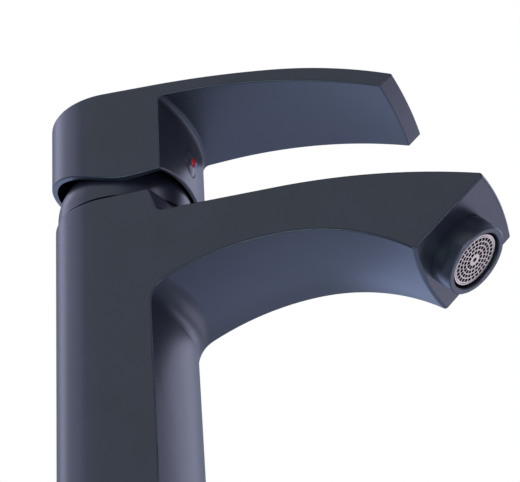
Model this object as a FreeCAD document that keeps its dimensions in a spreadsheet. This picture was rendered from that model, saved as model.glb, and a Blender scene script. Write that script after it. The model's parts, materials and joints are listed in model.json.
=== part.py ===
"""Single-lever basin mixer, millimetres.

The origin is on the cartridge axis at the deck face, +Z is up and +X points along the spout.
Every driving dimension is in the Sizes sheet, and the sketches and features are bound to it.
"""
import FreeCAD, Part
import math
import os
import re
from FreeCAD import Placement, Rotation, Vector

import Sketcher

SIZES = {
    # body casting
    "body_radius": 23.3,
    "rear_spare": 5.0,
    "rim_height": 118.9,
    "foot_front": 17.2,
    "corner_front": 15.8,
    "front_crown": 4.5,
    "spout_top": 110.0,
    "top_crown": 2.4,
    "top_level_end": 58.0,
    "under_crown": 2.4,
    "arch_apex_reach": 58.8,
    "arch_apex_height": 93.3,
    "arch_back_radius": 90.0,
    "arch_front_radius": 68.5,
    "arch_corner_radius": 9.0,
    "arch_start_reach": 21.1,
    "arch_corner_rise": 0.914,
    "outlet_low_reach": 100.8,
    "outlet_high_reach": 124.1,
    "outlet_angle": 42.7,
    "notch_radius": 2.6,
    "notch_reach": 17.9,
    "nose_half_width": 19.5,
    "nose_top_round": 1.2,
    "nose_top_slope": 16.6,
    "nose_low_round": 1.2,
    "nose_low_slope": 37.8,
    "nose_reach": 126.0,
    "casting_edge": 0.65,
    # inside of the casting
    "foot_wall": 4.0,
    "foot_depth": 66.0,
    "cartridge_bore": 17.7,
    "nut_bore": 18.3,
    "seat_height": 97.0,
    "nut_thread_bottom": 112.0,
    "inlet_spacing": 18.0,
    "inlet_radius": 4.5,
    "inlet_length": 12.0,
    "inlet_passage_radius": 2.75,
    "outlet_port_reach": 8.0,
    "outlet_port_radius": 3.2,
    "channel_radius": 3.8,
    "channel_slope": 32.7,
    "channel_start_height": 80.9,
    "channel_level": 101.3,
    # mounting
    "stud_reach": -13.5,
    "stud_radius": 3.95,
    "stud_top": 24.0,
    "stud_bottom": -62.0,
    "boss_radius": 6.5,
    "boss_bottom": 6.0,
    "deck_thickness": 30.0,
    "clamp_radius": 23.0,
    "clamp_slot_width": 28.0,
    "clamp_gasket_thickness": 3.0,
    "clamp_plate_thickness": 2.5,
    "nut_flats": 13.0,
    "nut_height": 6.5,
    "gasket_mean_radius": 21.1,
    "gasket_width": 2.0,
    "gasket_depth": 2.2,
    # aerator
    "aerator_rim_radius": 12.13,
    "aerator_drop": 3.0,
    "aerator_exposed": 7.8,
    "aerator_thread_radius": 11.9,
    "aerator_thread_length": 8.4,
    "aerator_bore_depth": 9.6,
    "aerator_mouth_radius": 10.05,
    "aerator_flat_reach": 10.75,
    "aerator_flat_turn": -52.6,
    "aerator_flat_length": 3.4,
    "aerator_lip": 0.7,
    "grid_radius": 9.1,
    "grid_recess": 1.0,
    "grid_thickness": 0.6,
    "grid_centre_hole": 0.8,
    "grid_groove_radius": 8.5,
    "insert_wall": 0.5,
    "insert_bore": 6.5,
    "insert_gap_depth": 3.6,
    # cartridge
    "cartridge_radius": 17.5,
    "base_thickness": 3.5,
    "disc_thickness": 3.0,
    "disc_radius": 14.4,
    "disc_room": 14.8,
    "moving_disc_radius": 11.6,
    "disc_offset": 2.2,
    "carrier_half_width": 5.5,
    "carrier_top": 112.8,
    "rail_gap": 0.15,
    "shoulder_height": 112.5,
    "neck_radius": 14.0,
    "neck_top": 123.0,
    "rotor_room": 12.4,
    "rotor_flange_bottom": 113.2,
    "rotor_flange_top": 115.3,
    "rotor_radius": 9.4,
    "rotor_top": 126.0,
    "running_gap": 0.1,
    "nut_top": 118.6,
    "pivot_height": 121.0,
    "pin_radius": 1.5,
    "pin_gap": 0.04,
    "ball_radius": 2.9,
    "ball_height": 110.5,
    "ball_gap": 0.2,
    "neck_width": 4.0,
    "stem_width": 7.0,
    "stem_top": 152.5,
    # dome collar
    "collar_radius": 22.5,
    "collar_bottom": 119.7,
    "dome_centre_radius": 6.2,
    "dome_centre_height": 122.4,
    "dome_arc_radius": 16.3,
    "dome_wall": 1.6,
    "dome_mouth_radius": 15.0,
    # handle
    "cap_radius": 24.5,
    "cap_wall": 1.8,
    "cap_front": 19.7,
    "cap_crown": 3.4,
    "skirt_front_height": 125.2,
    "skirt_front_arch": 4.4,
    "skirt_side_reach": 8.0,
    "skirt_side_height": 124.65,
    "skirt_curve": 36.0,
    "skirt_rise_reach": -4.0,
    "skirt_rise_height": 127.4,
    "skirt_slope": 22.8,
    "lever_top": 158.6,
    "lever_flat_end": 18.0,
    "lever_bend_reach": 60.0,
    "lever_bend_radius": 330.0,
    "lever_reach": 97.6,
    "lever_tip_crown": 1.2,
    "lever_tip_height": 145.65,
    "lever_end_radius": 150.0,
    "lever_under_reach": 93.0,
    "lever_tip_under": 141.8,
    "lever_under_start": 28.0,
    "lever_under_height": 153.9,
    "lever_fillet": 2.2,
    "lever_half_width": 18.5,
    "handle_edge": 0.5,
    "roof_thickness": 3.6,
    "handle_boss_bottom": 137.0,
    "plug_height": 140.5,
    "plug_radius": 4.7,
    "plug_gap": 0.25,
    "plug_length": 4.0,
    "plug_dome": 1.0,
    "bead_radius": 1.8,
    "bead_height": 1.1,
    "screw_radius": 2.5,
}

doc = FreeCAD.newDocument("basin_mixer")
sheet = doc.addObject("Spreadsheet::Sheet", "Sizes")
for row, (alias, value) in enumerate(SIZES.items(), start=1):
    sheet.set("A%d" % row, alias)
    sheet.set("B%d" % row, str(value))
    sheet.setAlias("B%d" % row, alias)
doc.recompute()


# ---------------------------------------------------------------- helpers

def linked(text):
    """An expression over the sheet's names, such as body_radius - foot_wall, as FreeCAD reads it."""
    def with_sheet(match):
        word = match.group()
        return "Sizes." + word if word in SIZES else word

    return re.sub(r"[a-z_]{3,}", with_sheet, str(text))


def size(text):
    """The value of an expression over the sheet's names."""
    return float(sheet.evalExpression(linked(text)))


def plane_of(body, role):
    return next(feature for feature in body.Origin.OriginFeatures if feature.Role == role)


PIECES = []


def new_piece(kind, name):
    piece = doc.addObject(kind, name)
    piece.Label = name
    PIECES.append(piece)
    return piece


def new_body(name):
    return new_piece("PartDesign::Body", name)


def new_sketch(body, name, role="XZ_Plane", offset=None):
    """A sketch on one of the body's own origin planes, moved along the plane's normal by offset."""
    sketch = body.newObject("Sketcher::SketchObject", name)
    sketch.AttachmentSupport = (plane_of(body, role), [""])
    sketch.MapMode = "FlatFace"
    if offset is not None:
        sketch.setExpression("AttachmentOffset.Base.z", linked(offset))
    return sketch


def bind(sketch, constraint, text):
    index = sketch.addConstraint(constraint)
    sketch.setExpression("Constraints[%d]" % index, linked(text))


def place_point(sketch, geometry, point, x, y):
    """Ties a sketch point to two expressions measured from the sketch's origin."""
    bind(sketch, Sketcher.Constraint("DistanceX", -1, 1, geometry, point, size(x)), x)
    bind(sketch, Sketcher.Constraint("DistanceY", -1, 1, geometry, point, size(y)), y)


def outline(sketch, corners):
    """A closed loop. A corner (x, y) starts a straight side and (x, y, radius) starts an arc,
    which turns left when the radius is positive and right when it is negative."""
    count = len(corners)
    points = [Vector(size(corner[0]), size(corner[1]), 0) for corner in corners]
    sides = []
    for index, corner in enumerate(corners):
        start = points[index]
        end = points[(index + 1) % count]
        if len(corner) == 2:
            sides.append((sketch.addGeometry(Part.LineSegment(start, end)), 1, 2))
            continue
        radius = size(corner[2])
        chord = end - start
        half = chord.Length / 2
        sagitta = abs(radius) - math.sqrt(max(radius * radius - half * half, 0))
        right = Vector(chord.y, -chord.x, 0).normalize()
        middle = (start + end) / 2 + right * math.copysign(sagitta, radius)
        if radius > 0:
            sides.append((sketch.addGeometry(Part.Arc(start, middle, end)), 1, 2))
        else:
            sides.append((sketch.addGeometry(Part.Arc(end, middle, start)), 2, 1))
    for index, corner in enumerate(corners):
        geometry, first, last = sides[index]
        before, _, before_last = sides[index - 1]
        sketch.addConstraint(Sketcher.Constraint("Coincident", before, before_last, geometry, first))
        place_point(sketch, geometry, first, corner[0], corner[1])
        if len(corner) == 3:
            text = "abs(%s)" % corner[2]
            bind(sketch, Sketcher.Constraint("Radius", geometry, size(text)), text)


def circle(sketch, x, y, radius):
    centre = Vector(size(x), size(y), 0)
    index = sketch.addGeometry(Part.Circle(centre, Vector(0, 0, 1), size(radius)))
    place_point(sketch, index, 3, x, y)
    bind(sketch, Sketcher.Constraint("Radius", index, size(radius)), radius)


def rectangle(sketch, left, bottom, right, top):
    outline(sketch, [(left, bottom), (right, bottom), (right, top), (left, top)])


def pad(body, sketch, length, midplane=False, reverse=False):
    feature = body.newObject("PartDesign::Pad", sketch.Name + "Pad")
    feature.Profile = sketch
    feature.Refine = False
    feature.setExpression("Length", linked(length))
    feature.Midplane = midplane
    feature.Reversed = reverse
    doc.recompute()
    return feature


def pocket(body, sketch, length, midplane=False, reverse=True):
    """Cuts along the sketch plane's normal, or against it when reverse is False."""
    before = body.Shape.Volume
    feature = body.newObject("PartDesign::Pocket", sketch.Name + "Pocket")
    feature.Profile = sketch
    feature.Refine = False
    feature.setExpression("Length", linked(length))
    feature.Midplane = midplane
    feature.Reversed = reverse
    doc.recompute()
    if not body.Shape.Volume < before:
        raise RuntimeError(sketch.Name + " cuts nothing")
    return feature


def revolve(body, sketch, sweep=360):
    feature = body.newObject("PartDesign::Revolution", sketch.Name + "Turn")
    feature.Profile = sketch
    feature.ReferenceAxis = (sketch, ["V_Axis"])
    feature.Angle = sweep
    doc.recompute()
    return feature


def turned(name, corners, sweep=360):
    """A piece of revolution about the body's own Z axis, from (radius, height) corners."""
    body = new_body(name)
    sketch = new_sketch(body, name + "_profile")
    outline(sketch, corners)
    revolve(body, sketch, sweep)
    return body


def ring(name, inner, outer, bottom, top):
    return turned(name, [(inner, bottom), (outer, bottom), (outer, top), (inner, top)])


def drill(body, name, x, y, radius, bottom, depth, role="XY_Plane"):
    """A round hole along the plane's normal, from bottom over depth."""
    sketch = new_sketch(body, name, role, bottom)
    circle(sketch, x, y, radius)
    return pocket(body, sketch, depth)


def bend(shape, edge):
    """The angle in degrees between the two faces that meet at the middle of an edge."""
    point = edge.valueAt((edge.FirstParameter + edge.LastParameter) / 2)
    faces = shape.ancestorsOfType(edge, Part.Face)
    if len(faces) != 2:
        return 0
    normals = [face.normalAt(*face.Surface.parameter(point)) for face in faces]
    return math.degrees(normals[0].getAngle(normals[1]))


def round_edges(body, radius, above, sharpest=25):
    """Fillets the body's sharp edges that reach higher than above."""
    base = body.Tip
    shape = base.Shape
    names = []
    for number, edge in enumerate(shape.Edges, start=1):
        if edge.BoundBox.ZMax > above and bend(shape, edge) > sharpest:
            names.append("Edge%d" % number)
    feature = body.newObject("PartDesign::Fillet", body.Name + "_edges")
    feature.Base = (base, names)
    feature.setExpression("Radius", linked(radius))
    doc.recompute()
    return feature


# The aerator's axis meets the spout's end face a little below that face's middle.
OUTLET_FRONT_RUN = "(outlet_low_reach - arch_apex_reach)"
OUTLET_FRONT_DROP = "(arch_front_radius - sqrt(arch_front_radius ^ 2 - %s ^ 2))" % OUTLET_FRONT_RUN
OUTLET_RUN = "((outlet_high_reach - outlet_low_reach) / 2 - aerator_drop * cos(outlet_angle * 1deg))"
OUTLET_X = "(outlet_low_reach + %s)" % OUTLET_RUN
OUTLET_Z = "(arch_apex_height - %s + %s * tan(outlet_angle * 1deg))" % (OUTLET_FRONT_DROP, OUTLET_RUN)


def outlet_placement(outward):
    """A place on the aerator's axis, outward from the end face, with +Z pointing out of the spout."""
    x = size("%s + (%s) * sin(outlet_angle * 1deg)" % (OUTLET_X, outward))
    z = size("%s - (%s) * cos(outlet_angle * 1deg)" % (OUTLET_Z, outward))
    return Placement(Vector(x, 0, z), Rotation(Vector(0, 1, 0), 180 - size("outlet_angle")))


def outlet_sketch(body, name, outward):
    sketch = new_sketch(body, name, "XY_Plane")
    sketch.AttachmentOffset = outlet_placement(outward)
    along = "%s + (%s) * sin(outlet_angle * 1deg)" % (OUTLET_X, outward)
    down = "%s - (%s) * cos(outlet_angle * 1deg)" % (OUTLET_Z, outward)
    sketch.setExpression("AttachmentOffset.Base.x", linked(along))
    sketch.setExpression("AttachmentOffset.Base.z", linked(down))
    return sketch


def arc_through(run, drop):
    """The radius of an arc that starts level and falls by drop over run."""
    return "((%s) ^ 2 + (%s) ^ 2) / (2 * (%s))" % (run, drop, drop)


# ---------------------------------------------------------------- body casting

def casting_section(sketch, forward, raised, lowered):
    """The side outline of the column and spout; the middle one is crowned in front, above and below."""
    rear = "-(body_radius + rear_spare)"
    foot = "(foot_front + %s)" % forward
    front = "(corner_front + %s)" % forward
    start = "(arch_start_reach + %s)" % forward
    apex = "(arch_apex_height - %s)" % lowered
    back_drop = "(arch_back_radius - sqrt(arch_back_radius ^ 2 - (arch_apex_reach - %s) ^ 2))" % start
    start_height = "(%s - %s)" % (apex, back_drop)
    low_reach = "(outlet_low_reach - %s * cos(outlet_angle * 1deg))" % lowered
    low_height = "(arch_apex_height - %s - %s * sin(outlet_angle * 1deg))" % (OUTLET_FRONT_DROP, lowered)
    rise = "((outlet_high_reach - outlet_low_reach) * tan(outlet_angle * 1deg))"
    high_reach = "(outlet_high_reach + %s * cos(outlet_angle * 1deg))" % raised
    corner_rise = "%s + %s * sin(outlet_angle * 1deg)" % (rise, raised)
    high_height = "(arch_apex_height - %s + %s)" % (OUTLET_FRONT_DROP, corner_rise)
    top = "(spout_top + %s)" % raised
    low_cut = "(nose_low_round * tan((outlet_angle + nose_low_slope) / 2 * 1deg))"
    high_cut = "(nose_top_round / tan((outlet_angle + nose_top_slope) / 2 * 1deg))"
    before_low = (
        "(%s - %s * cos(nose_low_slope * 1deg))" % (low_reach, low_cut),
        "(%s + %s * sin(nose_low_slope * 1deg))" % (low_height, low_cut),
    )
    after_low = (
        "(%s + %s * cos(outlet_angle * 1deg))" % (low_reach, low_cut),
        "(%s + %s * sin(outlet_angle * 1deg))" % (low_height, low_cut),
    )
    before_high = (
        "(%s - %s * cos(outlet_angle * 1deg))" % (high_reach, high_cut),
        "(%s - %s * sin(outlet_angle * 1deg))" % (high_height, high_cut),
    )
    after_high = (
        "(%s - %s * cos(nose_top_slope * 1deg))" % (high_reach, high_cut),
        "(%s + %s * sin(nose_top_slope * 1deg))" % (high_height, high_cut),
    )
    under_radius = arc_through("%s - arch_apex_reach" % before_low[0], "%s - %s" % (apex, before_low[1]))
    top_radius = arc_through("%s - top_level_end" % after_high[0], "%s - %s" % (top, after_high[1]))
    outline(sketch, [
        (rear, "0"),
        (foot, "0"),
        (front, "%s - arch_corner_radius * arch_corner_rise" % start_height, "-arch_corner_radius"),
        (start, start_height, "-arch_back_radius"),
        ("arch_apex_reach", apex, "-(%s)" % under_radius),
        (*before_low, "nose_low_round"),
        after_low,
        (*before_high, "nose_top_round"),
        (*after_high, top_radius),
        ("top_level_end", top),
        ("notch_reach + notch_radius + %s" % forward, top, "-notch_radius"),
        ("notch_reach + %s" % forward, "%s + notch_radius" % top),
        (front, "rim_height"),
        (rear, "rim_height"),
    ])


def make_casting():
    body = new_body("body_casting")
    sides = []
    for name, offset, crowned in (("near", "body_radius", 0), ("middle", "0", 1), ("far", "-body_radius", 0)):
        section = new_sketch(body, "casting_" + name, offset=offset)
        forward = "%d * front_crown" % crowned
        raised = "%d * top_crown" % crowned
        lowered = "%d * under_crown" % crowned
        casting_section(section, forward, raised, lowered)
        sides.append(section)
    loft = body.newObject("PartDesign::AdditiveLoft", "casting_loft")
    loft.Profile = sides[0]
    loft.Sections = sides[1:]
    doc.recompute()
    plan = new_sketch(body, "casting_plan", "XY_Plane")
    rectangle(plan, "-3 * body_radius", "-3 * body_radius", "8 * body_radius", "3 * body_radius")
    outline(plan, [
        ("0", "-body_radius"),
        ("corner_front", "-body_radius"),
        ("nose_reach", "-nose_half_width"),
        ("nose_reach", "nose_half_width"),
        ("corner_front", "body_radius"),
        ("0", "body_radius", "body_radius"),
        ("-body_radius", "0", "body_radius"),
    ])
    pocket(body, plan, "rim_height + 1")
    round_edges(body, "casting_edge", 1.0)
    hollow_foot(body)
    drill(body, "cartridge_well", "0", "0", "cartridge_bore", "seat_height", "rim_height - seat_height")
    drill(body, "nut_thread", "0", "0", "nut_bore", "nut_thread_bottom", "rim_height - nut_thread_bottom")
    for side, name in (("-1", "cold"), ("1", "hot")):
        across = "%s * inlet_spacing / 2" % side
        drill(body, name + "_inlet", "0", across, "inlet_radius", "foot_depth", "inlet_length")
        drill(body, name + "_passage", "0", across, "inlet_passage_radius", "foot_depth",
              "seat_height - foot_depth")
    drill(body, "outlet_port", "outlet_port_reach", "0", "outlet_port_radius", "channel_start_height",
          "seat_height - channel_start_height")
    cut_spout_channel(body)
    mouth = outlet_sketch(body, "aerator_thread", "0")
    circle(mouth, "0", "0", "aerator_thread_radius + 0.05")
    pocket(body, mouth, "aerator_bore_depth", reverse=False)
    groove = new_sketch(body, "gasket_groove", "XY_Plane")
    circle(groove, "0", "0", "gasket_mean_radius + gasket_width / 2")
    circle(groove, "0", "0", "gasket_mean_radius - gasket_width / 2")
    pocket(body, groove, "gasket_depth")
    return body


def hollow_foot(body):
    """The cavity that the hoses rise through, with the boss that the mounting stud screws into."""
    inner = "(body_radius - foot_wall)"
    front = "(foot_front - 1.5 * foot_wall)"
    cavity = new_sketch(body, "foot_cavity", "XY_Plane")
    outline(cavity, [
        ("0", "-%s" % inner),
        (front, "-%s" % inner, "2.1 * %s" % inner),
        (front, inner),
        ("0", inner, inner),
        ("-%s" % inner, "0", inner),
    ])
    pocket(body, cavity, "foot_depth")
    boss = new_sketch(body, "stud_boss", "XY_Plane", "boss_bottom")
    circle(boss, "stud_reach", "0", "boss_radius")
    pad(body, boss, "foot_depth - boss_bottom + 1")
    drill(body, "stud_thread", "stud_reach", "0", "stud_radius + 0.05", "boss_bottom",
          "stud_top - boss_bottom + 1")


def cut_spout_channel(body):
    """The waterway from under the cartridge to the back of the aerator, as three straight runs."""
    inward = "(aerator_bore_depth - 1)"
    end_x = "(%s - %s * sin(outlet_angle * 1deg))" % (OUTLET_X, inward)
    end_z = "(%s + %s * cos(outlet_angle * 1deg))" % (OUTLET_Z, inward)
    rise = "(channel_level - channel_start_height)"
    corners = [
        ("outlet_port_reach", "channel_start_height"),
        ("outlet_port_reach + %s / tan(channel_slope * 1deg)" % rise, "channel_level"),
        ("%s - (channel_level - %s) * tan(outlet_angle * 1deg)" % (end_x, end_z), "channel_level"),
        (end_x, end_z),
    ]
    points = [Vector(size(x), 0, size(z)) for x, z in corners]
    for index in range(3):
        run = points[index + 1] - points[index]
        section = new_sketch(body, "channel_%d" % (index + 1), "XY_Plane")
        section.AttachmentOffset = Placement(points[index], Rotation(Vector(0, 0, 1), run))
        section.setExpression("AttachmentOffset.Base.x", linked(corners[index][0]))
        section.setExpression("AttachmentOffset.Base.z", linked(corners[index][1]))
        circle(section, "0", "0", "channel_radius")
        pocket(body, section, "%.3f + channel_radius / 3" % run.Length)


# ---------------------------------------------------------------- deck fixing

def make_deck_fixing():
    """The base ring, and the stud, gasket, plate and nut that clamp the mixer to the deck."""
    inner = "gasket_mean_radius - gasket_width / 2"
    outer = "gasket_mean_radius + gasket_width / 2"
    ring("base_gasket", inner, outer, "0", "gasket_depth")
    stud = ring_free("mounting_stud", "stud_radius", "stud_bottom", "stud_top")
    move_to_stud(stud)
    horseshoe("clamp_gasket", "-deck_thickness - clamp_gasket_thickness", "clamp_gasket_thickness")
    plate_bottom = "-deck_thickness - clamp_gasket_thickness - clamp_plate_thickness"
    horseshoe("clamp_plate", plate_bottom, "clamp_plate_thickness")
    nut = new_body("stud_nut")
    sketch = new_sketch(nut, "nut_hexagon", "XY_Plane", plate_bottom + " - nut_height")
    apothem = "nut_flats / 2"
    corner = "nut_flats / sqrt(3)"
    outline(sketch, [
        (corner, "0"),
        (corner + " / 2", apothem),
        ("-%s / 2" % corner, apothem),
        ("-%s" % corner, "0"),
        ("-%s / 2" % corner, "-" + apothem),
        (corner + " / 2", "-" + apothem),
    ])
    circle(sketch, "0", "0", "stud_radius")
    pad(nut, sketch, "nut_height")
    move_to_stud(nut)


def ring_free(name, radius, bottom, top):
    return turned(name, [("0", bottom), (radius, bottom), (radius, top), ("0", top)])


def move_to_stud(body):
    body.setExpression("Placement.Base.x", linked("stud_reach"))


def horseshoe(name, bottom, thickness):
    """A round plate with a slot open to the front for the hoses and a hole for the stud."""
    body = new_body(name)
    sketch = new_sketch(body, name + "_plan", "XY_Plane", bottom)
    half = "clamp_slot_width / 2"
    lip = "sqrt(clamp_radius ^ 2 - (%s) ^ 2)" % half
    back = "(stud_reach + 2 * stud_radius + 1)"
    outline(sketch, [
        (lip, half, "clamp_radius"),
        ("0", "clamp_radius", "clamp_radius"),
        ("-clamp_radius", "0", "clamp_radius"),
        ("0", "-clamp_radius", "clamp_radius"),
        (lip, "-(%s)" % half),
        (back, "-(%s)" % half),
        (back, half),
    ])
    circle(sketch, "stud_reach", "0", "stud_radius + 0.3")
    pad(body, sketch, thickness)


# ---------------------------------------------------------------- aerator

def outlet_piece(name, corners):
    """A turned piece on the aerator's axis, with height 0 at the spout's end face, outward positive."""
    body = turned(name, corners)
    body.Placement = outlet_placement("0")
    body.setExpression("Placement.Base.x", linked(OUTLET_X))
    body.setExpression("Placement.Base.z", linked(OUTLET_Z))
    return body


def make_aerator():
    """Threaded housing with two flats, a flow insert, a wire screen, a metal grid and a washer."""
    make_aerator_housing()
    grid_back = "(aerator_exposed - grid_recess - grid_thickness)"
    gap_bottom = "(%s - insert_gap_depth)" % grid_back
    outlet_piece("aerator_insert", [
        ("insert_bore", "1 - aerator_thread_length"),
        ("aerator_mouth_radius", "1 - aerator_thread_length"),
        ("aerator_mouth_radius", gap_bottom),
        ("grid_radius", gap_bottom),
        ("grid_radius", grid_back),
        ("grid_radius - insert_wall", grid_back),
        ("grid_radius - insert_wall", gap_bottom),
        ("insert_bore", gap_bottom),
    ])
    make_aerator_grid(grid_back)
    outlet_piece("aerator_screen", [
        ("0", "-2.0"),
        ("insert_bore", "-2.0"),
        ("insert_bore", "-1.5"),
        ("0", "-1.5"),
    ])
    outlet_piece("aerator_washer", [
        ("aerator_mouth_radius - 2", "-aerator_bore_depth"),
        ("aerator_thread_radius", "-aerator_bore_depth"),
        ("aerator_thread_radius", "-aerator_thread_length"),
        ("aerator_mouth_radius - 2", "-aerator_thread_length"),
    ])


def make_aerator_housing():
    """The ring that screws into the spout, with a thin groove at its root and two flats for a key."""
    shell = outlet_piece("aerator_housing", [
        ("aerator_mouth_radius", "-aerator_thread_length"),
        ("aerator_thread_radius", "-aerator_thread_length"),
        ("aerator_thread_radius", "0.1"),
        ("aerator_rim_radius", "0.1"),
        ("aerator_rim_radius", "0.7"),
        ("aerator_rim_radius - 0.2", "0.8"),
        ("aerator_rim_radius - 0.2", "1.0"),
        ("aerator_rim_radius", "1.1"),
        ("aerator_rim_radius", "aerator_exposed - 0.4"),
        ("aerator_rim_radius - 0.4", "aerator_exposed"),
        ("aerator_mouth_radius + 0.3", "aerator_exposed"),
        ("aerator_mouth_radius", "aerator_exposed - 0.3"),
    ])
    flats = new_sketch(shell, "key_flats", "XY_Plane", "aerator_exposed - aerator_lip - aerator_flat_length")
    flats.AttachmentOffset = Placement(Vector(0, 0, 0), Rotation(Vector(0, 0, 1), size("aerator_flat_turn")))
    outer = "1.1 * aerator_rim_radius"
    rectangle(flats, "aerator_flat_reach", "-aerator_rim_radius", outer, "aerator_rim_radius")
    rectangle(flats, "-" + outer, "-aerator_rim_radius", "-aerator_flat_reach", "aerator_rim_radius")
    pocket(shell, flats, "aerator_flat_length")


def make_aerator_grid(back):
    """A thin plate with rings of short curved slots, a centre hole and a fine groove near its edge."""
    front = back + " + grid_thickness"
    grid = outlet_piece("aerator_grid", [
        ("grid_centre_hole", back),
        ("grid_radius", back),
        ("grid_radius", front),
        ("grid_groove_radius + 0.1", front),
        ("grid_groove_radius + 0.1", front + " - 0.2"),
        ("grid_groove_radius - 0.1", front + " - 0.2"),
        ("grid_groove_radius - 0.1", front),
        ("grid_centre_hole", front),
    ])
    for number, (count, inner, outer) in enumerate(GRID_RINGS, start=1):
        slots = new_sketch(grid, "slot_ring_%d" % number, "XY_Plane", back + " - 0.5")
        half = math.pi / count * SLOT_SHARE
        for index in range(count):
            centre = 2 * math.pi * index / count
            add_slot(slots, inner, outer, (centre - half, centre + half))
        pocket(grid, slots, "grid_thickness + 1")


# slots in a ring, and the ring's two radii
GRID_RINGS = ((12, 2.1, 3.4), (18, 3.85, 4.95), (24, 5.35, 6.45), (28, 6.85, 8.0))
SLOT_SHARE = 0.8


def add_slot(sketch, inner, outer, angles):
    """One slot between two radii and two angles, with straight ends."""
    first, last = angles
    middle = (first + last) / 2

    def at(radius, angle):
        return Vector(radius * math.cos(angle), radius * math.sin(angle), 0)

    sketch.addGeometry(Part.Arc(at(inner, first), at(inner, middle), at(inner, last)))
    sketch.addGeometry(Part.LineSegment(at(inner, last), at(outer, last)))
    sketch.addGeometry(Part.Arc(at(outer, first), at(outer, middle), at(outer, last)))
    sketch.addGeometry(Part.LineSegment(at(outer, first), at(inner, first)))


# ---------------------------------------------------------------- cartridge

PORTS = (
    ("0", "inlet_spacing / 2", "inlet_passage_radius"),
    ("0", "-inlet_spacing / 2", "inlet_passage_radius"),
    ("outlet_port_reach", "0", "outlet_port_radius"),
)


def ported_disc(name, radius, bottom, thickness):
    body = new_body(name)
    sketch = new_sketch(body, name + "_plan", "XY_Plane", bottom)
    circle(sketch, "0", "0", radius)
    for x, y, port in PORTS:
        circle(sketch, x, y, port)
    pad(body, sketch, thickness)
    return body


def make_cartridge_body():
    """The fixed part of the cartridge: base, port seals, lower ceramic disc, housing and nut."""
    base = ported_disc("cartridge_base", "cartridge_radius - 0.1", "seat_height", "base_thickness")
    seals = new_body("port_seals")
    seats = new_sketch(seals, "port_seal_rings", "XY_Plane", "seat_height")
    for number, (x, y, port) in enumerate(PORTS, start=1):
        drill(base, "seal_seat_%d" % number, x, y, port + " + 1.4", "seat_height", "1.2")
        circle(seats, x, y, port)
        circle(seats, x, y, port + " + 1.4")
    pad(seals, seats, "1.2")
    ported_disc("fixed_disc", "disc_radius", "seat_height + base_thickness", "disc_thickness")
    disc_bottom = "seat_height + base_thickness"
    housing = turned("cartridge_housing", [
        ("disc_room", disc_bottom),
        ("cartridge_radius", disc_bottom),
        ("cartridge_radius", "shoulder_height"),
        ("neck_radius", "shoulder_height"),
        ("neck_radius", "neck_top"),
        ("rotor_radius + running_gap", "neck_top"),
        ("rotor_radius + running_gap", "rotor_flange_top + 0.2"),
        ("rotor_room", "rotor_flange_top + 0.2"),
        ("rotor_room", "shoulder_height - 2.5"),
        ("disc_room", "shoulder_height - 2.5"),
    ])
    stops = new_sketch(housing, "swivel_stops", "XY_Plane", "neck_top - 0.5")
    for side in (1, -1):
        sector(stops, 12.9, 14.0, side * 60, 6)
    pad(housing, stops, "2.5")
    nut = ring("retaining_nut", "neck_radius + 0.3", "nut_bore", "shoulder_height", "nut_top")
    notches = new_sketch(nut, "nut_notches", "XY_Plane", "nut_top - 2")
    for index in range(6):
        sector(notches, 13.9, 16.6, index * 60, 8)
    pocket(nut, notches, "3")


def sector(sketch, inner, outer, centre, half):
    """A closed piece of a ring between two radii, centre and half in degrees."""
    angles = (math.radians(centre - half), math.radians(centre + half))
    add_slot(sketch, inner, outer, angles)


def make_rotor():
    """What turns with the handle inside the cartridge: carrier, hinge pin and stop ring."""
    carrier = turned("stem_carrier", [
        ("0", "rotor_flange_bottom"),
        ("rotor_room - 0.2", "rotor_flange_bottom"),
        ("rotor_room - 0.2", "rotor_flange_top"),
        ("rotor_radius", "rotor_flange_top"),
        ("rotor_radius", "rotor_top"),
        ("0", "rotor_top"),
    ])
    slot = new_sketch(carrier, "stem_slot", "XY_Plane", "rotor_flange_bottom - 1")
    rectangle(slot, "-stem_width", "-stem_width / 2 - 0.1", "stem_width", "stem_width / 2 + 0.1")
    pocket(carrier, slot, "rotor_top - rotor_flange_bottom + 2")
    rails = new_sketch(carrier, "carrier_rails", "XY_Plane", "carrier_top - 2.4")
    near = "carrier_half_width + rail_gap"
    rectangle(rails, "-8", near, "8", near + " + 1.8")
    rectangle(rails, "-8", "-(%s) - 1.8" % near, "8", "-(%s)" % near)
    pad(carrier, rails, "rotor_flange_bottom - carrier_top + 2.6")
    bore = new_sketch(carrier, "pin_bore", "XZ_Plane")
    circle(bore, "0", "pivot_height", "pin_radius")
    pocket(carrier, bore, "3 * rotor_radius", midplane=True)
    pin = new_body("stem_pin")
    section = new_sketch(pin, "pin_section", "XZ_Plane")
    circle(section, "0", "pivot_height", "pin_radius")
    pad(pin, section, "2 * (rotor_radius - 0.4)", midplane=True)
    stop = ring("temperature_stop_ring", "rotor_radius", "12.4", "neck_top + 0.2", "rotor_top - 0.4")
    tab = new_sketch(stop, "stop_tab", "XY_Plane", "neck_top + 0.2")
    sector(tab, 12.0, 13.9, 0, 8)
    pad(stop, tab, "1.8")


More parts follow.
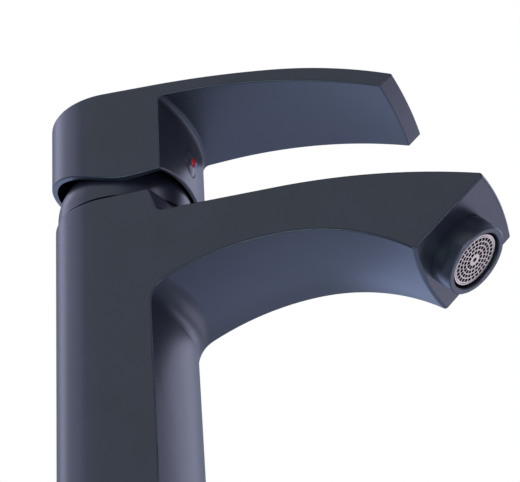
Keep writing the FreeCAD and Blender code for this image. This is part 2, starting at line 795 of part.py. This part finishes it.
def make_mixing_discs():
    """The sliding ceramic disc with its mixing pocket, and the plastic carrier that the stem pushes."""
    disc = new_body("moving_disc")
    bottom = "seat_height + base_thickness + disc_thickness"
    plan = new_sketch(disc, "moving_disc_plan", "XY_Plane", bottom)
    circle(plan, "-disc_offset", "0", "moving_disc_radius")
    pad(disc, plan, "disc_thickness")
    bar = new_sketch(disc, "mixing_pocket", "XY_Plane", bottom)
    outline(bar, [
        ("-7.5", "-9.5"), ("-3", "-9.5"), ("-3", "-3"), ("6", "-3"),
        ("6", "3"), ("-3", "3"), ("-3", "9.5"), ("-7.5", "9.5"),
    ])
    pocket(disc, bar, "disc_thickness / 2")
    carrier = new_body("disc_carrier")
    plate = new_sketch(carrier, "carrier_plate", "XY_Plane", bottom + " + disc_thickness")
    circle(plate, "-disc_offset", "0", "moving_disc_radius")
    pad(carrier, plate, "disc_thickness")
    block = new_sketch(carrier, "carrier_block", "XY_Plane", bottom + " + disc_thickness + 1")
    half = "carrier_half_width"
    rectangle(block, "-" + half, "-" + half, half, half)
    pad(carrier, block, "carrier_top - (%s) - disc_thickness - 1" % bottom)
    slot = new_sketch(carrier, "ball_slot", "XY_Plane", bottom + " + disc_thickness + 1")
    reach = "ball_radius + ball_gap"
    rectangle(slot, "-(%s)" % reach, "-(%s)" % reach, reach, reach)
    pocket(carrier, slot, "10")


# ---------------------------------------------------------------- dome collar

def make_dome():
    ring("collar_seal", "nut_bore", "collar_radius - 0.8", "rim_height", "collar_bottom")
    outer = "dome_arc_radius"
    inner = "(dome_arc_radius - dome_wall)"

    def height(arc, radius):
        return "dome_centre_height + sqrt(%s ^ 2 - (%s - dome_centre_radius) ^ 2)" % (arc, radius)

    turned("dome_collar", [
        ("nut_bore - 1.5", "nut_top + 0.1"),
        ("nut_bore", "nut_top + 0.1"),
        ("nut_bore", "collar_bottom"),
        ("collar_radius", "collar_bottom"),
        ("collar_radius", "dome_centre_height", outer),
        ("dome_mouth_radius", height(outer, "dome_mouth_radius")),
        ("dome_mouth_radius", height(inner, "dome_mouth_radius"), "-" + inner),
        ("collar_radius - dome_wall", "dome_centre_height"),
        ("collar_radius - dome_wall", "collar_bottom + dome_wall"),
        ("nut_bore - 1.5", "collar_bottom + dome_wall"),
    ])


# ---------------------------------------------------------------- handle

def handle_section(sketch, crowned):
    """The side outline of cap and lever; the middle one is crowned in front, over a higher skirt."""
    front = "(cap_front + %d * cap_crown)" % crowned
    rear = "(-cap_radius - 4)"
    bend_drop = "(lever_bend_radius - sqrt(lever_bend_radius ^ 2 - (lever_bend_reach - lever_flat_end) ^ 2))"
    tip = "%d * lever_tip_crown" % crowned
    under_start = "(lever_under_start + %d * cap_crown)" % crowned
    under_run = "(lever_under_reach + %s - %s)" % (tip, under_start)
    under_drop = "(lever_under_height - lever_tip_under)"
    under_radius = "((%s ^ 2 + %s ^ 2) / (2 * %s))" % (under_run, under_drop, under_drop)
    skirt_rise = "(skirt_rise_reach - %s) * tan(skirt_slope * 1deg)" % rear
    outline(sketch, [
        ("skirt_side_reach", "skirt_side_height"),
        (front, "skirt_front_height + %d * skirt_front_arch" % crowned),
        (front, "lever_under_height - lever_fillet", "-lever_fillet"),
        (front + " + lever_fillet", "lever_under_height"),
        (under_start, "lever_under_height", "-" + under_radius),
        ("lever_under_reach + " + tip, "lever_tip_under"),
        ("lever_reach + " + tip, "lever_tip_height", "lever_end_radius"),
        ("lever_bend_reach", "lever_top - " + bend_drop, "lever_bend_radius"),
        ("lever_flat_end", "lever_top"),
        (rear, "lever_top"),
        (rear, "skirt_rise_height + " + skirt_rise),
        ("skirt_rise_reach", "skirt_rise_height", "skirt_curve"),
    ])


def make_handle():
    body = new_body("handle")
    sections = []
    for name, offset, crowned in (("near", "cap_radius", 0), ("middle", "0", 1), ("far", "-cap_radius", 0)):
        section = new_sketch(body, "handle_" + name, offset=offset)
        handle_section(section, crowned)
        sections.append(section)
    loft = body.newObject("PartDesign::AdditiveLoft", "handle_loft")
    loft.Profile = sections[0]
    loft.Sections = sections[1:]
    doc.recompute()
    plan = new_sketch(body, "handle_plan", "XY_Plane")
    rectangle(plan, "-3 * cap_radius", "-3 * cap_radius", "8 * cap_radius", "3 * cap_radius")
    taper = "asin((cap_radius - lever_half_width) / lever_reach)"
    shoulder_x = "cap_radius * sin(%s)" % taper
    shoulder_y = "cap_radius * cos(%s)" % taper
    end_y = "(%s - (lever_reach + 6 - %s) * tan(%s))" % (shoulder_y, shoulder_x, taper)
    outline(plan, [
        ("-cap_radius", "0", "cap_radius"),
        (shoulder_x, "-" + shoulder_y),
        ("lever_reach + 6", "-" + end_y),
        ("lever_reach + 6", end_y),
        (shoulder_x, shoulder_y, "cap_radius"),
    ])
    pocket(body, plan, "lever_top + 1")
    round_edges(body, "handle_edge", 0)
    hollow_cap(body)
    return body


def cap_inside(sketch):
    """The inner outline of the cap in plan."""
    inner = "(cap_radius - cap_wall)"
    corner = "(cap_front - 0.1)"
    side = "sqrt(%s ^ 2 - 6.5 ^ 2)" % inner
    crown = "(cap_crown * (%s / cap_radius) ^ 2)" % side
    sagging = "((%s) ^ 2 + %s ^ 2) / (2 * %s)" % (side, crown, crown)
    outline(sketch, [
        ("-" + inner, "0", inner),
        ("6.5", "-" + side),
        (corner, "-(%s - 0.8)" % side, sagging),
        (corner, "%s - 0.8" % side),
        ("6.5", side, inner),
    ])


def hollow_cap(body):
    """Hollows the cap from below and leaves the boss that grips the square stem."""
    below = new_sketch(body, "cap_room", "XY_Plane", "skirt_side_height - 3")
    cap_inside(below)
    pocket(body, below, "handle_boss_bottom - skirt_side_height + 3")
    above = new_sketch(body, "cap_room_beside_boss", "XY_Plane", "handle_boss_bottom")
    cap_inside(above)
    rectangle(above, "-stem_width / 2 - 2", "-stem_width / 2 - 1.5", "11", "stem_width / 2 + 1.5")
    pocket(body, above, "lever_top - roof_thickness - handle_boss_bottom")
    socket = new_sketch(body, "stem_socket", "XY_Plane", "handle_boss_bottom - 1")
    half = "stem_width / 2"
    rectangle(socket, "-" + half, "-" + half, half, half)
    pocket(body, socket, "stem_top - handle_boss_bottom + 1")
    plug_seat = "cap_front + cap_crown - plug_length"
    drill(body, "plug_hole", "0", "plug_height", "plug_radius + plug_gap", plug_seat, "2 * plug_length",
          role="YZ_Plane")
    drill(body, "screw_hole", "0", "plug_height", "screw_radius", "0", plug_seat, role="YZ_Plane")


def make_handle_hardware():
    """The square stem, the grub screw and the two-colour plug in front of it."""
    shank = new_body("stem")
    square = new_sketch(shank, "stem_square", "XY_Plane", "pivot_height - 4")
    half = "stem_width / 2"
    rectangle(square, "-" + half, "-" + half, half, half)
    pad(shank, square, "stem_top - pivot_height + 4")
    lower = new_sketch(shank, "stem_lower", "XZ_Plane")
    outline(lower, [
        ("0", "ball_height - ball_radius"),
        ("0", "pivot_height"),
        ("neck_width / 2", "pivot_height"),
        ("neck_width / 2", "ball_height + 0.9 * neck_width / 2"),
        ("ball_radius", "ball_height"),
        ("neck_width / 2", "ball_height - neck_width / 2"),
    ])
    revolve(shank, lower)
    bore = new_sketch(shank, "stem_pin_bore", "XZ_Plane")
    circle(bore, "0", "pivot_height", "pin_radius + pin_gap")
    pocket(shank, bore, "2 * stem_width", midplane=True)
    screw = new_body("set_screw")
    section = new_sketch(screw, "screw_section", "YZ_Plane", half)
    circle(section, "0", "plug_height", "screw_radius")
    pad(screw, section, "7")
    socket = new_sketch(screw, "screw_socket", "YZ_Plane", half + " + 5")
    circle(socket, "0", "plug_height", "screw_radius / 2")
    pocket(screw, socket, "4")


def front_piece(name, corners, sweep=360, start=0):
    """A piece turned about the plug's axis, with height 0 at the cap's front."""
    body = turned(name, corners, sweep)
    forward = Rotation(Vector(0, 1, 0), 90)
    body.Placement = Placement(Vector(0, 0, 0), forward.multiply(Rotation(Vector(0, 0, 1), start)))
    body.setExpression("Placement.Base.x", linked("cap_front + cap_crown"))
    body.setExpression("Placement.Base.z", linked("plug_height"))
    return body


def make_index_plug():
    """The domed plug over the grub screw, with a seat for the bead in its middle."""
    dome_radius = arc_through("plug_radius", "plug_dome")
    seat_height = "(plug_dome - %s + sqrt((%s) ^ 2 - bead_radius ^ 2))" % (dome_radius, dome_radius)
    front_piece("index_plug", [
        ("0", "-plug_length"),
        ("plug_radius", "-plug_length"),
        ("plug_radius", "-0.2"),
        ("plug_radius - 0.2", "0", dome_radius),
        ("bead_radius", seat_height),
        ("bead_radius", "0"),
        ("0", "0"),
    ])


def make_index_marks():
    """The bead on the plug, half red on the hot side and half blue on the cold side."""
    bead_arc = arc_through("bead_radius", "bead_height")
    for name, start in (("index_hot", 180), ("index_cold", 0)):
        front_piece(name, [
            ("0", "0"),
            ("bead_radius", "0"),
            ("bead_radius", "plug_dome - 0.1", bead_arc),
            ("0", "plug_dome - 0.1 + bead_height"),
        ], 180, start)


def write_pieces():
    doc.recompute()
    for item in doc.Objects:
        if "Invalid" in item.State or "Error" in item.State:
            raise RuntimeError("%s failed: %s" % (item.Name, item.State))
    os.makedirs("parts", exist_ok=True)
    for piece in PIECES:
        if piece.Shape.isNull() or not piece.Shape.isValid():
            raise RuntimeError(piece.Label + " has no valid shape")
        piece.Shape.exportStep("parts/%s.step" % piece.Label)


make_casting()
make_deck_fixing()
make_aerator()
make_cartridge_body()
make_rotor()
make_mixing_discs()
make_dome()
make_handle()
make_handle_hardware()
make_index_plug()
make_index_marks()
write_pieces()
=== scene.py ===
"""Single-lever basin mixer in matte black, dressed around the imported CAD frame, in metres."""
import json
import math

import bpy
from mathutils import Matrix, Vector

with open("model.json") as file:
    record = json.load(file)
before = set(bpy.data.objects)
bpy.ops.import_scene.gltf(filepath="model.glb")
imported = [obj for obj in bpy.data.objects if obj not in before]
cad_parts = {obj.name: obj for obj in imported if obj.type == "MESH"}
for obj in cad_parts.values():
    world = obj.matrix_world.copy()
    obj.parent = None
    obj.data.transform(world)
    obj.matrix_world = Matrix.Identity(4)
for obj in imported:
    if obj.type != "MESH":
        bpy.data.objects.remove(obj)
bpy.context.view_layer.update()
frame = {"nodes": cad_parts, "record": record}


def rgba(r, g, b):
    return (r, g, b, 1.0)


# ---------------------------------------------------------------- material values

# scale of each noise over the object's metres: larger is finer
PAINT_CLOUD = 60.0
PAINT_GRAIN = 6500.0
PLASTIC_CLOUD = 90.0
PLASTIC_GRAIN = 900.0
RUBBER_GRAIN = 1500.0
METAL_CLOUD = 150.0
METAL_GRAIN = 1200.0
FLOOR_CLOUD = 3.0

PAINT_LOW = rgba(0.0105, 0.0115, 0.0165)
PAINT_HIGH = rgba(0.0145, 0.0155, 0.0215)
PAINT_ROUGHNESS = (0.31, 0.36)
PAINT_SPECULAR = 0.62

PLASTIC_ROUGHNESS_SPREAD = 0.04
METAL_ROUGHNESS_SPREAD = 0.05

# ---------------------------------------------------------------- stage, light and camera values

FLOOR_Z = -1.3
FLOOR_SIZE = 40.0
FLOOR_SEEN = rgba(0.86, 0.87, 0.89)
SURROUND_LIGHT = rgba(0.62, 0.73, 1.0)
SURROUND_STRENGTH = 0.5

LILAC = (0.72, 0.7, 1.0)
COOL = (0.45, 0.57, 1.0)
TEAL = (0.6, 0.95, 1.0)
NEUTRAL = (0.93, 0.95, 0.95)

# name, direction from the mixer, width, height, power and colour of each soft box
SOFTBOXES = (
    ("front_up", (-0.24, -0.82, 0.52), 1.2, 1.2, 2.0, NEUTRAL),
    ("left_up", (-0.81, 0.25, 0.52), 0.4, 0.9, 2.4, LILAC),
    ("left_side", (-0.84, -0.22, 0.5), 0.6, 0.9, 1.6, LILAC),
    ("left_front", (-0.8, -0.6, 0.1), 0.6, 0.9, 1.4, COOL),
    ("back_right_up", (0.48, 0.7, 0.5), 0.9, 0.9, 3.2, LILAC),
    ("right_back_low", (0.5, 0.82, -0.24), 0.6, 0.5, 1.3, LILAC),
    ("back_low", (-0.6, 0.8, -0.05), 0.8, 0.6, 1.9, COOL),
    ("back_under", (-0.24, 0.68, -0.68), 1.8, 1.0, 4.4, COOL),
    ("front_under", (-0.24, -0.49, -0.8), 1.2, 0.25, 7.0, TEAL),
    ("right_front_under", (0.68, -0.52, -0.48), 0.25, 0.7, 4.0, LILAC),
    ("right_edge", (0.9, -0.3, 0.5), 0.2, 0.9, 2.0, LILAC),
    ("top_back", (-0.24, 0.5, 0.83), 1.0, 0.25, 2.6, COOL),
)
SOFTBOX_DISTANCE = 1.25
LIT_CENTRE = Vector((0.03, 0, 0.09))

SENSOR_WIDTH = 36.0
LENS = 169.03
CAMERA_PLACE = (0.2337, -0.64775, -0.30302)
CAMERA_AZIMUTH = math.radians(16.19)
CAMERA_RISE = math.radians(31.19)
CAMERA_ROLL = math.radians(-3.04)

# ---------------------------------------------------------------- material helpers


def new_material(name):
    """A node material with a Principled shader; returns material, nodes, links, shader."""
    material = bpy.data.materials.new(name)
    material.use_nodes = True
    tree = material.node_tree
    shader = next(node for node in tree.nodes if node.type == "BSDF_PRINCIPLED")
    return material, tree.nodes, tree.links, shader


def noise(nodes, links, scale, detail):
    """Noise over the object's own metres, so that its grain has a real size."""
    place = nodes.new("ShaderNodeTexCoord")
    texture = nodes.new("ShaderNodeTexNoise")
    texture.inputs["Scale"].default_value = scale
    texture.inputs["Detail"].default_value = detail
    texture.inputs["Roughness"].default_value = 0.55
    links.new(place.outputs["Object"], texture.inputs["Vector"])
    return texture.outputs["Fac"]


def tint(nodes, links, source, low, high, shader):
    """Clouds the base colour between two close shades."""
    node = nodes.new("ShaderNodeValToRGB")
    node.color_ramp.elements[0].position = 0.35
    node.color_ramp.elements[1].position = 0.65
    node.color_ramp.elements[0].color = low
    node.color_ramp.elements[1].color = high
    links.new(source, node.inputs["Fac"])
    links.new(node.outputs["Color"], shader.inputs["Base Color"])


def roughen(nodes, links, source, low, high, shader):
    """Varies the roughness between two values."""
    node = nodes.new("ShaderNodeMapRange")
    node.inputs["To Min"].default_value = low
    node.inputs["To Max"].default_value = high
    links.new(source, node.inputs["Value"])
    links.new(node.outputs["Result"], shader.inputs["Roughness"])


def add_bump(nodes, links, height, strength, distance, shader):
    bump = nodes.new("ShaderNodeBump")
    bump.inputs["Strength"].default_value = strength
    bump.inputs["Distance"].default_value = distance
    links.new(height, bump.inputs["Height"])
    links.new(bump.outputs["Normal"], shader.inputs["Normal"])


# ---------------------------------------------------------------- materials


def matte_black(name):
    """Fine powder coat: blue-black, satin, with a very fine grain and slight clouding."""
    material, nodes, links, shader = new_material(name)
    cloud = noise(nodes, links, PAINT_CLOUD, 3.0)
    tint(nodes, links, cloud, PAINT_LOW, PAINT_HIGH, shader)
    roughen(nodes, links, cloud, *PAINT_ROUGHNESS, shader)
    grain = noise(nodes, links, PAINT_GRAIN, 2.0)
    add_bump(nodes, links, grain, 0.25, 0.00002, shader)
    shader.inputs["Specular IOR Level"].default_value = PAINT_SPECULAR
    return material


def plain_plastic(name, low, high, roughness, grain=PLASTIC_GRAIN):
    """Moulded plastic, rubber or ceramic, by its roughness and grain."""
    material, nodes, links, shader = new_material(name)
    cloud = noise(nodes, links, PLASTIC_CLOUD, 3.0)
    tint(nodes, links, cloud, low, high, shader)
    lowest, highest = roughness - PLASTIC_ROUGHNESS_SPREAD, roughness + PLASTIC_ROUGHNESS_SPREAD
    roughen(nodes, links, cloud, lowest, highest, shader)
    fine = noise(nodes, links, grain, 2.0)
    add_bump(nodes, links, fine, 0.15, 0.00003, shader)
    return material


def metal(name, low, high, roughness):
    """Bare metal with a fine machined grain."""
    material, nodes, links, shader = new_material(name)
    cloud = noise(nodes, links, METAL_CLOUD, 3.0)
    tint(nodes, links, cloud, low, high, shader)
    shader.inputs["Metallic"].default_value = 1.0
    lowest, highest = roughness - METAL_ROUGHNESS_SPREAD, roughness + METAL_ROUGHNESS_SPREAD
    roughen(nodes, links, cloud, lowest, highest, shader)
    fine = noise(nodes, links, METAL_GRAIN, 2.0)
    add_bump(nodes, links, fine, 0.2, 0.00003, shader)
    return material


MATERIALS = {
    "matte_black": matte_black("matte_black_paint"),
    "black_plastic": plain_plastic(
        "black_plastic_moulded", rgba(0.012, 0.012, 0.014), rgba(0.018, 0.018, 0.02), 0.45),
    "black_rubber": plain_plastic(
        "black_rubber_soft", rgba(0.012, 0.012, 0.012), rgba(0.02, 0.02, 0.02), 0.7, RUBBER_GRAIN),
    "steel": metal("zinc_plated_steel", rgba(0.5, 0.51, 0.53), rgba(0.62, 0.63, 0.65), 0.32),
    "silver_grid": metal("etched_steel_grid", rgba(0.38, 0.33, 0.27), rgba(0.48, 0.42, 0.34), 0.24),
    "brass": metal("machined_brass", rgba(0.62, 0.45, 0.2), rgba(0.74, 0.56, 0.28), 0.3),
    "grey_plastic": plain_plastic("grey_acetal", rgba(0.42, 0.44, 0.47), rgba(0.5, 0.52, 0.55), 0.4),
    "white_plastic": plain_plastic("white_acetal", rgba(0.8, 0.8, 0.77), rgba(0.86, 0.86, 0.84), 0.4),
    "ceramic": plain_plastic("lapped_alumina", rgba(0.82, 0.8, 0.75), rgba(0.88, 0.86, 0.81), 0.15),
    "plug_grey": plain_plastic("plug_gloss_grey", rgba(0.05, 0.05, 0.055), rgba(0.07, 0.07, 0.075), 0.16),
    "plug_red": plain_plastic("plug_red_gloss", rgba(0.62, 0.01, 0.015), rgba(0.7, 0.02, 0.025), 0.25),
    "plug_blue": plain_plastic("plug_blue_gloss", rgba(0.02, 0.07, 0.5), rgba(0.03, 0.09, 0.58), 0.25),
}


def dress_cad_nodes():
    """Gives every CAD node the finish of its material slot in the record."""
    slots = {part["node"]: part["material_slot"] for part in frame["record"]["subparts"]}
    for node, item in frame["nodes"].items():
        item.data.materials.clear()
        item.data.materials.append(MATERIALS[slots[node]])


# ---------------------------------------------------------------- stage, light and camera


def show_to_camera(nodes, links, lit, seen, output):
    """Lights the mixer with one shader of the stage, and shows the camera the other."""
    path = nodes.new("ShaderNodeLightPath")
    mix = nodes.new("ShaderNodeMixShader")
    links.new(path.outputs["Is Camera Ray"], mix.inputs["Fac"])
    links.new(lit, mix.inputs[1])
    links.new(seen, mix.inputs[2])
    links.new(mix.outputs["Shader"], output.inputs["Surface"])


def build_floor():
    """A wide pale floor well below the mixer."""
    pale, nodes, links, shader = new_material("pale_floor")
    shade = noise(nodes, links, FLOOR_CLOUD, 2.0)
    tint(nodes, links, shade, rgba(0.8, 0.8, 0.81), rgba(0.84, 0.84, 0.85), shader)
    shader.inputs["Roughness"].default_value = 0.8
    glow = nodes.new("ShaderNodeEmission")
    glow.inputs["Color"].default_value = FLOOR_SEEN
    show_to_camera(nodes, links, shader.outputs["BSDF"], glow.outputs["Emission"], nodes["Material Output"])
    mesh = bpy.data.meshes.new("floor")
    half = FLOOR_SIZE / 2
    corners = [(-half, -half, 0), (half, -half, 0), (half, half, 0), (-half, half, 0)]
    mesh.from_pydata(corners, [], [(0, 1, 2, 3)])
    floor = bpy.data.objects.new("floor", mesh)
    floor.location = (0, 0, FLOOR_Z)
    floor.data.materials.append(pale)
    bpy.context.scene.collection.objects.link(floor)


def build_surround():
    """A cool surround lights the mixer; the camera sees it as plain white."""
    world = bpy.data.worlds.new("studio")
    world.use_nodes = True
    nodes, links = world.node_tree.nodes, world.node_tree.links
    lit = nodes["Background"]
    lit.inputs["Color"].default_value = SURROUND_LIGHT
    lit.inputs["Strength"].default_value = SURROUND_STRENGTH
    seen = nodes.new("ShaderNodeBackground")
    seen.inputs["Color"].default_value = rgba(1.0, 1.0, 1.0)
    seen.inputs["Strength"].default_value = 1.0
    show_to_camera(nodes, links, lit.outputs["Background"], seen.outputs["Background"], nodes["World Output"])
    bpy.context.scene.world = world
    bpy.context.scene.view_settings.view_transform = "Standard"


def add_softbox(name, location, width, height, power, colour):
    """An area light aimed at the mixer, unseen by the camera itself."""
    light = bpy.data.lights.new(name, "AREA")
    light.shape = "RECTANGLE"
    light.size = width
    light.size_y = height
    light.energy = power
    light.color = colour
    item = bpy.data.objects.new(name, light)
    item.location = location
    item.rotation_euler = (LIT_CENTRE - location).to_track_quat("-Z", "Y").to_euler()
    item.visible_camera = False
    bpy.context.scene.collection.objects.link(item)


def build_lights():
    """Soft boxes around the mixer, each placed where a face or an edge mirrors it as a broad sheen."""
    for name, direction, width, height, power, colour in SOFTBOXES:
        location = LIT_CENTRE + Vector(direction).normalized() * SOFTBOX_DISTANCE
        add_softbox(name, location, width, height, power, colour)


def build_camera():
    """Stands low in front of the hot side and looks up at the spout."""
    camera = bpy.data.cameras.new("camera")
    camera.sensor_width = SENSOR_WIDTH
    camera.lens = LENS
    item = bpy.data.objects.new("camera", camera)
    level_reach = math.cos(CAMERA_RISE)
    forward = Vector((
        -math.sin(CAMERA_AZIMUTH) * level_reach,
        math.cos(CAMERA_AZIMUTH) * level_reach,
        math.sin(CAMERA_RISE),
    ))
    level = forward.cross(Vector((0, 0, 1))).normalized()
    upright = level.cross(forward)
    right = level * math.cos(CAMERA_ROLL) + upright * math.sin(CAMERA_ROLL)
    up = upright * math.cos(CAMERA_ROLL) - level * math.sin(CAMERA_ROLL)
    item.matrix_world = Matrix((
        (right.x, up.x, -forward.x, CAMERA_PLACE[0]),
        (right.y, up.y, -forward.y, CAMERA_PLACE[1]),
        (right.z, up.z, -forward.z, CAMERA_PLACE[2]),
        (0, 0, 0, 1),
    ))
    bpy.context.scene.collection.objects.link(item)
    bpy.context.scene.camera = item


dress_cad_nodes()
build_floor()
build_surround()
build_lights()
build_camera()
